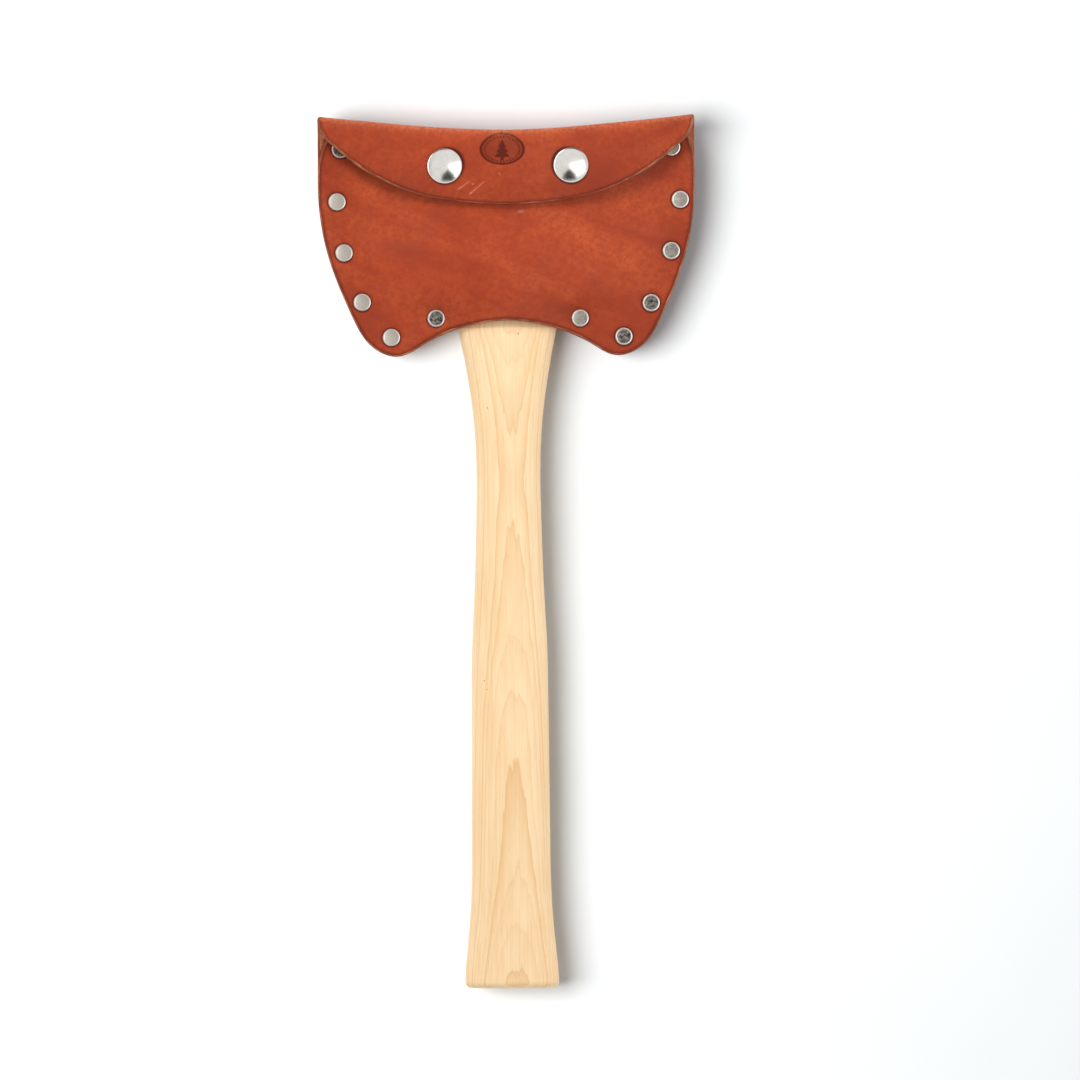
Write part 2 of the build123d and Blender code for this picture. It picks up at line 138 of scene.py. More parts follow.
# ---------------------------------------------------------------- curves and fields
def spline(points, start, end):
    """Points along the smooth curve through the given points, leaving along start, or along the first chord
    where that is None, and arriving along end."""
    step = 0.8
    p = np.array(points, float)
    d = np.linalg.norm(np.diff(p, axis=0), axis=1)
    n = len(p)
    a, b = np.zeros((n, n)), np.zeros((n, 2))
    chords = np.diff(p, axis=0) / d[:, None]
    for i in range(1, n - 1):
        a[i, i - 1:i + 2] = 1 / d[i - 1], 2 / d[i - 1] + 2 / d[i], 1 / d[i]
        b[i] = 3 * (chords[i - 1] / d[i - 1] + chords[i] / d[i])
    a[0, 0] = a[-1, -1] = 1
    b[0] = chords[0] if start is None else np.array(start, float) / np.linalg.norm(start)
    b[-1] = np.array(end, float) / np.linalg.norm(end)
    k = np.linalg.solve(a, b)
    out = []
    for i in range(n - 1):
        t = np.arange(0, 1, min(step / d[i], 0.5))[:, None]
        h00, h10 = (1 + 2 * t) * (1 - t) ** 2, t * (1 - t) ** 2
        h01, h11 = t * t * (3 - 2 * t), t * t * (t - 1)
        out.append(h00 * p[i] + h10 * d[i] * k[i] + h01 * p[i + 1] + h11 * d[i] * k[i + 1])
    return np.vstack(out + [p[-1:]])


def mirrored(points):
    """The same run on the other side of X = 0, in the opposite order."""
    return np.array(points)[::-1] * (-1, 1)


def resampled(points, spacing):
    """A closed run, evenly spaced."""
    p = np.vstack([points, points[:1]])
    at = np.concatenate([[0], np.cumsum(np.linalg.norm(np.diff(p, axis=0), axis=1))])
    even = np.linspace(0, at[-1], max(int(at[-1] / spacing), 8), endpoint=False)
    return np.column_stack([np.interp(even, at, p[:, 0]), np.interp(even, at, p[:, 1])])


def smooth_step(x, low, high):
    """0 below low, 1 above high, and a smooth rise between."""
    t = np.clip((x - low) / (high - low), 0, 1)
    return t * t * (3 - 2 * t)


def blurred(grid, sigma):
    """A grid smoothed over sigma cells, its edge values carried outward."""
    reach = int(3 * sigma)
    kernel = np.exp(-0.5 * (np.arange(-reach, reach + 1) / sigma) ** 2)
    kernel /= kernel.sum()
    for axis in (0, 1):
        width = [(reach, reach) if i == axis else (0, 0) for i in (0, 1)]
        padded = np.pad(grid, width, mode="edge")
        grid = np.apply_along_axis(lambda v: np.convolve(v, kernel, mode="valid"), axis, padded)
    return grid


GRID_X = np.arange(-92.0, 93.0)
GRID_Y = np.arange(272.0, 408.0)


def tent_grid():
    """Height of a panel's inner face on a 1 mm grid: the CAD's flat facets, softened, and pressed flat at
    the rivets."""
    rows = []
    for y, bends in TENT:
        xs, zs = zip(*([(0, bends[0][1])] + bends + [(100, RIM)]))
        rows.append(np.interp(np.abs(GRID_X), xs, zs))
    rows, at = np.array(rows), [y for y, _ in TENT]
    grid = np.array([[np.interp(y, at, rows[:, j]) for j in range(len(GRID_X))] for y in GRID_Y])
    grid = blurred(grid, 3.2)
    gx, gy = np.meshgrid(GRID_X, GRID_Y)
    for x, y in RIVETS:
        near = np.exp(-(np.hypot(gx - x, gy - y) / 6.0) ** 4)
        grid = grid * (1 - near) + RIM * near
    return blurred(grid, 1.2)


TENT_GRID = tent_grid()


def tent(x, y):
    """Height of a panel's inner face above the middle of the blade."""
    u = np.clip(x - GRID_X[0], 0, len(GRID_X) - 1.001)
    v = np.clip(y - GRID_Y[0], 0, len(GRID_Y) - 1.001)
    i, j = v.astype(int), u.astype(int)
    fv, fu = v - i, u - j
    low = TENT_GRID[i, j] * (1 - fu) + TENT_GRID[i, j + 1] * fu
    high = TENT_GRID[i + 1, j] * (1 - fu) + TENT_GRID[i + 1, j + 1] * fu
    return low * (1 - fv) + high * fv


def lumps(x, y, size, seed):
    """A gentle, repeatable unevenness between about -1 and 1."""
    r = np.random.default_rng(seed)
    total = 0
    for _ in range(7):
        kx, ky = r.normal(0, 1, 2) / size
        total = total + np.sin(kx * x + ky * y + r.uniform(0, 6.28))
    return total / 3


def top_line(x):
    """The Y of the top of the fold, lower in the middle than at the sides."""
    return TOP_MIDDLE + (OVERALL - TOP_MIDDLE) * (np.abs(x) / SHEATH_HALF) ** 1.5


def flap_rise(x, y):
    """Inner face of the flap, lowest at its sides and drawn in at the middle of its lower edge."""
    base = 9.8 + 7.4 * (1 - (np.abs(x) / SHEATH_HALF) ** 1.25)
    drawn = (1.7 + 0.7 * (x / 30) ** 2) * np.exp(-(x / 46) ** 4) * smooth_step(364 - y, 0, 12)
    lift = smooth_step(-x, 36, 80) * smooth_step(388 - y, 0, 14)
    return base - drawn + 0.9 * lift


# ---------------------------------------------------------------- where leather lies
def front_place(p):
    """The front panel: (x, y) to a point in the middle of its thickness."""
    return np.column_stack([p[:, 0], p[:, 1], tent(p[:, 0], p[:, 1]) + THICK / 2])


Marks = namedtuple("Marks", "top back back_end strip_start strip_end flap_start")
BACK_R = BACK_BEND - THICK / 2
FRONT_R = FRONT_BEND - THICK / 2


def wrap_marks(x):
    """Where the wrapped leather turns at x: the Y of its top and the Z of its back, and then lengths along
    it, measured up the back: where the back ends, the strip over the head starts and ends, and the flap
    starts."""
    top = top_line(x)
    back_end = top - BACK_BEND
    back = -(tent(x, back_end) + THICK / 2)
    front = flap_rise(x, top - FRONT_BEND) + THICK / 2
    strip_start = back_end + math.pi / 2 * BACK_R
    strip_end = strip_start + (front - FRONT_R) - (back + BACK_R)
    return Marks(top, back, back_end, strip_start, strip_end, strip_end + math.pi / 2 * FRONT_R)


def wrap_place(p):
    """The one piece of leather that is the back panel, the fold and the flap: (x, length) to a point in
    the middle of its thickness."""
    x, s = p[:, 0], p[:, 1]
    marks = wrap_marks(x)
    y = np.minimum(s, marks.back_end)
    z = -(tent(x, y) + THICK / 2)
    a = np.clip((s - marks.back_end) / BACK_R, 0, math.pi / 2)
    y = y + BACK_R * np.sin(a)
    z = np.where(s > marks.back_end, marks.back + BACK_R * (1 - np.cos(a)), z)
    z = z + np.clip(s - marks.strip_start, 0, marks.strip_end - marks.strip_start)
    a = np.clip((s - marks.strip_end) / FRONT_R, 0, math.pi / 2)
    y = y - FRONT_R * (1 - np.cos(a))
    z = z + FRONT_R * np.sin(a)
    y = y - np.maximum(s - marks.flap_start, 0)
    z = z + np.where(s > marks.flap_start, flap_rise(x, y) - flap_rise(x, marks.top - FRONT_BEND), 0)
    return np.column_stack([x, y, z])


def wrap_length(x, y):
    """The length along the wrapped leather at a point (x, y) of the flap."""
    marks = wrap_marks(x)
    return marks.flap_start + (marks.top - FRONT_BEND) - y


def wrap_middle(x):
    """The length at the middle of the fold's flat strip, where the two meshes meet."""
    marks = wrap_marks(x)
    return (marks.strip_start + marks.strip_end) / 2


# ---------------------------------------------------------------- meshes
def inside(points, outline):
    """Which points lie inside an outline."""
    x, y = points[:, 0][:, None], points[:, 1][:, None]
    a, b = outline, np.roll(outline, -1, axis=0)
    crosses = (a[:, 1] > y) != (b[:, 1] > y)
    rise = np.where(b[:, 1] == a[:, 1], 1e-9, b[:, 1] - a[:, 1])
    at = a[:, 0] + (y - a[:, 1]) * (b[:, 0] - a[:, 0]) / rise
    return (crosses & (x < at)).sum(1) % 2 == 1


def edge_distance(points, outline):
    """How far each point is from the nearest point of an outline, worked out a few thousand at a time."""
    away = np.full(len(points), np.inf)
    for part in np.array_split(np.arange(len(points)), max(len(points) // 2000, 1)):
        away[part] = np.linalg.norm(points[part][:, None] - outline[None], axis=2).min(1)
    return away


def filling(outline, spacing, details):
    """Points inside an outline: an even grid, with finer patches, each (x, y, radius, spacing)."""
    low, high = outline.min(0), outline.max(0)

    def grid(x0, y0, x1, y1, gap):
        xs = np.arange(x0, x1, gap)
        ys = np.arange(y0, y1, gap * 0.866)
        gx, gy = np.meshgrid(xs, ys)
        gx = gx + gap / 2 * (np.arange(len(ys)) % 2)[:, None]
        return np.column_stack([gx.ravel(), gy.ravel()])

    points = grid(low[0], low[1], high[0], high[1], spacing)
    for x, y, r, gap in details:
        points = points[np.hypot(points[:, 0] - x, points[:, 1] - y) > r]
        patch = grid(x - r, y - r, x + r, y + r, gap)
        points = np.vstack([points, patch[np.hypot(patch[:, 0] - x, patch[:, 1] - y) < r - gap / 2]])
    points = points[inside(points, outline)]
    return points[edge_distance(points, outline) > spacing * 0.45]


def leather(name, outline, place, outward, materials, details, relief, seam=None, edge=None):
    """A sheet of leather with rounded cut edges, drawn in its own flat pattern. place(points) gives the
    middle of its thickness, and outward the sign of the grain side against X x length. relief(points)
    raises the grain side, seam(points) marks where it is cut square, and edge(points) is how far the
    rounding reaches."""
    spacing = 1.25
    outline = resampled(outline, spacing * 0.8)
    edge = edge(outline) if edge else np.full(len(outline), 0.9)
    ahead, behind = np.roll(outline, -1, axis=0), np.roll(outline, 1, axis=0)
    tangent = ahead - behind
    tangent /= np.linalg.norm(tangent, axis=1)[:, None]
    area = np.sum(outline[:, 0] * ahead[:, 1] - outline[:, 1] * ahead[:, 0])
    normal = np.column_stack([tangent[:, 1], -tangent[:, 0]]) * np.sign(area)
    square = seam(outline) if seam else np.zeros(len(outline), bool)
    # the rounded edge, ring by ring from the grain side to the flesh side
    rings = []
    for half in (1, -1):
        for angle in np.radians([0, 12, 35, 60, 90][::half]):
            inset = np.where(square, 0.0, edge * (1 - math.sin(angle)))
            height = half * (THICK / 2 - edge * (1 - math.cos(angle)))
            rings.append((outline - normal * inset[:, None], height))
    first = rings[0][0]
    inner = filling(first, spacing, details)
    n, m = len(outline), len(inner)
    flat = np.vstack([first, inner])
    loop = [(i, (i + 1) % n) for i in range(n)]
    verts2, _, faces2, *_ = delaunay_2d_cdt([Vector(v) for v in flat], loop, [], 1, 1e-6)
    flat = np.array([v[:] for v in verts2])
    assert len(flat) == n + m, name
    faces2 = [list(f) for f in faces2]
    front = faces2[0]
    turn = np.cross(flat[front[1]] - flat[front[0]], flat[front[2]] - flat[front[1]])
    if (turn > 0) != (outward > 0):
        faces2 = [f[::-1] for f in faces2]

    pattern = [first, inner]
    height = [np.full(n + m, THICK / 2)]
    for ring, h in rings[1:-1]:
        pattern.append(ring)
        height.append(h)
    pattern += [first, inner]
    height.append(np.full(n + m, -THICK / 2))
    pattern, height = np.vstack(pattern), np.concatenate(height)

    # the way out of the leather, from points a little to each side
    middle = place(pattern)
    aside = 0.8
    dx = place(pattern + (aside, 0)) - place(pattern - (aside, 0))
    ds = place(pattern + (0, aside)) - place(pattern - (0, aside))
    up = np.cross(dx, ds) * outward
    up /= np.linalg.norm(up, axis=1)[:, None]
    rise = height.copy()
    top = height > THICK / 2 - 1e-6
    rise[top] += relief(pattern[top])
    points = middle + up * rise[:, None]

    # slots: 0 grain, 1 cut edge, 2 flesh
    faces, slots = list(faces2), [0] * len(faces2)
    count = len(rings)
    starts = [0] + [n + m + k * n for k in range(count - 2)] + [n + m + (count - 2) * n]
    ccw = area > 0
    for k in range(count - 1):
        a, b = starts[k], starts[k + 1]
        for i in range(n):
            j = (i + 1) % n
            quad = [a + i, b + i, b + j, a + j]
            faces.append(quad if ccw == (outward > 0) else quad[::-1])
            slots.append(0 if k < 1 and not square[i] else 1)
    last = starts[-1]
    faces += [[last + v for v in f[::-1]] for f in faces2]
    slots += [2] * len(faces2)

    obj = new_mesh(name, points, faces, slots, materials)
    store(obj, "leather_at", np.column_stack([pattern, height]) * MM, "FLOAT_VECTOR")
    shade(obj, 40)
    return obj, pattern


def new_mesh(name, points_mm, faces, slots, materials):
    """A mesh object in the row frame; slots says which of the materials each face has."""
    mesh = bpy.data.meshes.new(name)
    mesh.from_pydata(((np.asarray(points_mm) + SHIFT) * MM).tolist(), [], faces)
    for material in materials:
        mesh.materials.append(material)
    mesh.polygons.foreach_set("material_index", np.array(slots, np.int32))
    mesh.validate()
    obj = bpy.data.objects.new(name, mesh)
    bpy.context.scene.collection.objects.link(obj)
    return obj


def store(obj, name, values, kind="FLOAT"):
    """Keeps values on the mesh points, for a material to read."""
    attribute = obj.data.attributes.new(name, kind, "POINT")
    key = "vector" if kind == "FLOAT_VECTOR" else "value"
    attribute.data.foreach_set(key, np.asarray(values, np.float32).ravel())


def shade(obj, angle):
    """Smooth shading that stays sharp where faces meet at more than the angle."""
    obj.data.polygons.foreach_set("use_smooth", np.ones(len(obj.data.polygons), bool))
    obj.data.set_sharp_from_angle(angle=math.radians(angle))


def lathe(name, profile, segments, material, place, copies=1):
    """A turned piece: (radius, height) points from the top of its axis outward and down, turned about that
    axis, then put where place says, which may be in several copies."""
    angles = np.arange(segments) * 2 * math.pi / segments
    points, faces = [], []
    rings = []
    for r, z in profile:
        if r < 1e-6:
            rings.append([len(points)])
            points.append((0, 0, z))
        else:
            rings.append(list(range(len(points), len(points) + segments)))
            points += [(r * math.cos(a), r * math.sin(a), z) for a in angles]
    for a, b in zip(rings, rings[1:]):
        for i in range(segments):
            j = (i + 1) % segments
            if len(a) == 1:
                faces.append([a[0], b[i], b[j]])
            elif len(b) == 1:
                faces.append([a[j], a[i], b[0]])
            else:
                faces.append([a[i], b[i], b[j], a[j]])
    faces = [[v + k * len(points) for v in f] for k in range(copies) for f in faces]
    obj = new_mesh(name, place(np.array(points)), faces, [0] * len(faces), [material])
    shade(obj, 35)
    return obj


# ---------------------------------------------------------------- materials
def srgb(r, g, b):
    """A colour given as it looks on a screen, from 0 to 255."""
    def channel(v):
        v /= 255
        return v / 12.92 if v <= 0.04045 else ((v + 0.055) / 1.055) ** 2.4
    return (channel(r), channel(g), channel(b), 1.0)


class Shader:
    """One Principled material, built up node by node."""

    def __init__(self, name, **values):
        self.material = bpy.data.materials.new(name)
        self.material.use_nodes = True
        self.tree = self.material.node_tree
        self.surface = self.tree.nodes["Principled BSDF"]
        for key, value in values.items():
            self.surface.inputs[key.replace("_", " ").title().replace("Ior", "IOR")].default_value = value

    def node(self, kind, settings=None, **inputs):
        """Adds a node. settings are its own options; inputs are sockets, by name, or by number as i0, i1."""
        node = self.tree.nodes.new("ShaderNode" + kind)
        for key, value in (settings or {}).items():
            setattr(node, key, value)
        for key, value in inputs.items():
            socket = node.inputs[int(key[1:])] if key[0] == "i" and key[1:].isdigit() else node.inputs[key]
            self.put(socket, value)
        return node

    def put(self, socket, value):
        if isinstance(value, bpy.types.NodeSocket):
            self.tree.links.new(value, socket)
        else:
            socket.default_value = value

    def attribute(self, name, output="Fac"):
        return self.node("Attribute", {"attribute_name": name}).outputs[output]

    def rest(self):
        return self.node("TexCoord").outputs["Object"]

    def millimetres(self, at):
        parts = self.node("SeparateXYZ", Vector=at)
        return [self.maths("MULTIPLY", parts.outputs[i], 1000) for i in range(3)]

    def mapped(self, vector, scale=(1, 1, 1), turn=(0, 0, 0), move=(0, 0, 0)):
        node = self.node("Mapping", Vector=vector, Scale=scale, Rotation=turn, Location=move)
        return node.outputs["Vector"]

    def noise(self, vector, scale, detail=3.0, rough=0.5, distort=0.0):
        settings = {"Scale": scale, "Detail": detail, "Roughness": rough, "Distortion": distort}
        return self.node("TexNoise", Vector=vector, **settings).outputs["Fac"]

    def cells(self, vector, scale, feature="F1"):
        node = self.node("TexVoronoi", {"feature": feature}, Vector=vector, Scale=scale)
        return node.outputs["Distance"]

    def ramp(self, fac, *stops):
        node = self.node("ValToRGB", Fac=fac)
        elements = node.color_ramp.elements
        while len(elements) < len(stops):
            elements.new(0.5)
        for element, (at, colour) in zip(elements, stops):
            element.position = at
            element.color = colour if len(colour) == 4 else (*colour, 1)
        return node.outputs["Color"]

    def levels(self, fac, low, high, out_low=0.0, out_high=1.0):
        kind = {"interpolation_type": "SMOOTHSTEP"}
        return self.node("MapRange", kind, i0=fac, i1=low, i2=high, i3=out_low, i4=out_high).outputs[0]

    def maths(self, operation, a, b=0.0, c=0.0):
        return self.node("Math", {"operation": operation}, i0=a, i1=b, i2=c).outputs[0]

    def mix(self, fac, a, b):
        node = self.node("Mix", {"data_type": "RGBA"})
        self.put(node.inputs["Factor"], fac)
        self.put(node.inputs[6], a)
        self.put(node.inputs[7], b)
        return node.outputs[2]

    def bump(self, height, distance, strength):
        return self.node("Bump", Height=height, Distance=distance, Strength=strength).outputs["Normal"]

    def finish(self, colour, roughness, normal=None):
        self.put(self.surface.inputs["Base Color"], colour)
        self.put(self.surface.inputs["Roughness"], roughness)
        if normal is not None:
            self.put(self.surface.inputs["Normal"], normal)
        return self.material


LEATHER_DARK = srgb(158, 60, 35)
LEATHER_BASE = srgb(180, 73, 40)
LEATHER_LIGHT = srgb(197, 88, 48)
# the darkest leather: the darkened cut edge, and painted shade round the metal
LEATHER_BURNT_AND_SHADE = srgb(88, 28, 17)


def leather_grain():
    """Russet bridle leather: clouded dye, slanting lighter bands, fine pores, painted shade in dark rings at
    the metal, and the pressed stamp darker.
    """
    s = Shader("leather_grain", specular_ior_level=0.18)
    at = s.attribute("leather_at", "Vector")
    cloud = s.noise(at, 34, 4, 0.6, 0.4)
    aslant = s.mapped(at, turn=(0, 0, 0.42))
    bands = s.noise(s.mapped(aslant, (13, 58, 30)), 1, 3, 0.55, 0.5)
    both = s.maths("ADD", s.maths("MULTIPLY", cloud, 0.4), s.maths("MULTIPLY", bands, 0.6))
    colour = s.ramp(both, (0.36, LEATHER_DARK), (0.50, LEATHER_BASE), (0.66, LEATHER_LIGHT))
    fine = s.noise(at, 420, 5, 0.65)
    colour = s.mix(s.levels(fine, 0.36, 0.66, 0.0, 0.6), colour, LEATHER_DARK)
    speck = s.cells(at, 260)
    colour = s.mix(s.levels(speck, 0.10, 0.03, 0, 0.4), colour, LEATHER_LIGHT)
    stain = s.noise(s.mapped(at, move=(2, 5, 1)), 30, 4, 0.62, 0.5)
    colour = s.mix(s.levels(stain, 0.54, 0.72, 0, 0.34), colour, srgb(150, 70, 52))
    # painted shade: a dark ring round each rivet and snap, and the pressed stamp darker
    shade_and_stamp_mask = s.attribute("metal_shade_and_stamp")
    colour = s.mix(shade_and_stamp_mask, colour, LEATHER_BURNT_AND_SHADE)
    edge = s.attribute("near_edge")
    colour = s.mix(edge, colour, LEATHER_BURNT_AND_SHADE)
    scratch = s.attribute("scuffed")
    scratch = s.maths("MULTIPLY", scratch, s.levels(s.noise(at, 800, 4, 0.65), 0.38, 0.62, 0.25, 1.0))
    colour = s.mix(scratch, colour, srgb(216, 128, 86))
    nick = s.attribute("nicked")
    colour = s.mix(nick, colour, srgb(150, 138, 124))
    pores = s.cells(at, 1300)
    creases = s.cells(s.mapped(at, turn=(0, 0, 0.5)), 620, "DISTANCE_TO_EDGE")
    height = s.maths("ADD", s.maths("MULTIPLY", pores, 0.4), s.levels(creases, 0.0, 0.12, 0, 0.35))
    height = s.maths("ADD", height, s.maths("MULTIPLY", fine, 0.6))
    normal = s.bump(height, 0.00012, 0.55)
    rough = s.levels(s.noise(at, 90, 3), 0.3, 0.7, 0.5, 0.66)
    return s.finish(colour, rough, normal)


def leather_edge():
    """The cut edge: tan fibres, in thin layers, burnished darker in places."""
    s = Shader("leather_edge", specular_ior_level=0.3)
    at = s.attribute("leather_at", "Vector")
    layers = s.noise(s.mapped(at, (1, 1, 14)), 160, 4, 0.6)
    dark, middle, pale = srgb(128, 58, 34), srgb(166, 92, 60), srgb(206, 140, 104)
    colour = s.ramp(layers, (0.35, dark), (0.52, middle), (0.7, pale))
    burnish = s.noise(at, 60, 3)
    colour = s.mix(s.levels(burnish, 0.42, 0.62, 0, 0.6), colour, srgb(120, 48, 28))
    normal = s.bump(s.noise(s.mapped(at, (1, 1, 5)), 700, 3), 0.0002, 0.6)
    return s.finish(colour, 0.75, normal)


def leather_flesh():
    """The rough inner side, napped and paler."""
    s = Shader("leather_flesh", specular_ior_level=0.15, sheen_weight=0.25, sheen_roughness=0.6)
    at = s.attribute("leather_at", "Vector")
    nap = s.noise(at, 950, 6, 0.72)
    cloud = s.noise(at, 45, 3)
    colour = s.ramp(nap, (0.3, srgb(160, 92, 64)), (0.55, srgb(196, 126, 92)), (0.8, srgb(220, 160, 122)))
    colour = s.mix(s.levels(cloud, 0.4, 0.7, 0, 0.35), colour, srgb(172, 104, 74))
    return s.finish(colour, 0.92, s.bump(nap, 0.0005, 0.8))


def welt_leather():
    """The spacer strips, seen only on their cut edge."""
    s = Shader("welt_leather", specular_ior_level=0.25)
    at = s.rest()
    layers = s.noise(s.mapped(at, (1, 1, 12)), 170, 4, 0.6)
    dark, middle, pale = srgb(140, 72, 44), srgb(176, 104, 66), srgb(202, 140, 98)
    colour = s.ramp(layers, (0.35, dark), (0.55, middle), (0.75, pale))
    return s.finish(colour, 0.8, s.bump(layers, 0.0003, 0.7))


def cap_nickel():
    """Bright nickel plate with a faint haze."""
    s = Shader("cap_nickel", metallic=1.0)
    haze = s.noise(s.rest(), 420, 4, 0.6)
    colour = s.ramp(haze, (0.3, srgb(246, 243, 237)), (0.7, srgb(232, 228, 221)))
    return s.finish(colour, s.levels(haze, 0.3, 0.7, 0.20, 0.24))


def rivet_nickel():
    """Dull nickel with a bright rim; the dished faces are darkened in blotches, some more than others,
    partly by tarnish and partly by painted shade and painted reflection.
    """
    s = Shader("rivet_nickel", metallic=1.0)
    at = s.rest()
    face = s.attribute("face")
    # each dished face's darkness: tarnish, with painted shade and painted reflection
    tarnish_and_shade = s.attribute("tarnish_and_shade")
    colour = s.mix(face, srgb(240, 236, 229), srgb(222, 213, 200))
    blotch = s.levels(s.noise(at, 800, 4, 0.65), 0.36, 0.64, 0.5, 1.0)
    dark = s.maths("MULTIPLY", s.maths("MULTIPLY", face, tarnish_and_shade), blotch)
    colour = s.mix(dark, colour, srgb(44, 43, 42))
    rough = s.maths("MULTIPLY_ADD", face, 0.16, 0.34)
    return s.finish(colour, rough, s.bump(s.noise(at, 1500, 3), 0.00003, 0.4))


def forged_steel():
    """Dark scale on the forged cheeks, and bright ground bevels where the faces follow each edge's cone."""
    s = Shader("forged_steel", metallic=1.0)
    at = s.rest()
    x, y, z = s.millimetres(at)
    dx = s.maths("SUBTRACT", s.maths("ABSOLUTE", x), EDGE_CENTRE[0])
    dy = s.maths("SUBTRACT", y, EDGE_CENTRE[1] + SHIFT[1])
    reach = s.maths("SQRT", s.maths("ADD", s.maths("MULTIPLY", dx, dx), s.maths("MULTIPLY", dy, dy)))
    cone = s.maths("MULTIPLY_ADD", reach, -BEVEL_SLOPE, EDGE_HALF_LAND + BEVEL_SLOPE * EDGE_R)
    above = s.maths("SUBTRACT", cone, s.maths("ABSOLUTE", s.maths("SUBTRACT", z, SHIFT[2])))
    above = s.maths("ADD", above, s.maths("MULTIPLY_ADD", s.noise(at, 90, 3), 0.16, -0.08))
    ground = s.levels(above, 0.22, 0.10)
    scale = s.noise(at, 160, 6, 0.65)
    dark = s.ramp(scale, (0.3, srgb(66, 66, 70)), (0.55, srgb(92, 92, 96)), (0.8, srgb(124, 122, 120)))
    grind = s.noise(s.mapped(at, (30, 1300, 30)), 1, 2, 0.5)
    bright = s.ramp(grind, (0.3, srgb(176, 178, 182)), (0.7, srgb(204, 206, 208)))
    colour = s.mix(ground, dark, bright)
    rough = s.maths("SUBTRACT", 0.55, s.maths("MULTIPLY", ground, 0.22))
    relief = s.maths("MULTIPLY", scale, s.maths("SUBTRACT", 1.0, ground))
    return s.finish(colour, rough, s.bump(relief, 0.0002, 0.35))


def plain_steel():
    s = Shader("wedge_steel", metallic=1.0)
    haze = s.noise(s.rest(), 600, 4, 0.6)
    colour = s.ramp(haze, (0.3, srgb(120, 120, 124)), (0.7, srgb(160, 160, 162)))
    return s.finish(colour, 0.45, s.bump(haze, 0.0001, 0.4))


def spring_brass():
    s = Shader("spring_brass", metallic=1.0)
    haze = s.noise(s.rest(), 900, 3)
    colour = s.ramp(haze, (0.3, srgb(214, 172, 92)), (0.7, srgb(232, 196, 120)))
    return s.finish(colour, 0.3, s.bump(haze, 0.00003, 0.3))


# (x, y, radius) of dark specks in the wood
WOOD_SPECKS = ((5.0, 294.2, 0.5), (-9.2, 261.0, 0.42), (-11.5, 138.3, 0.45), (-10.4, 134.4, 0.35))


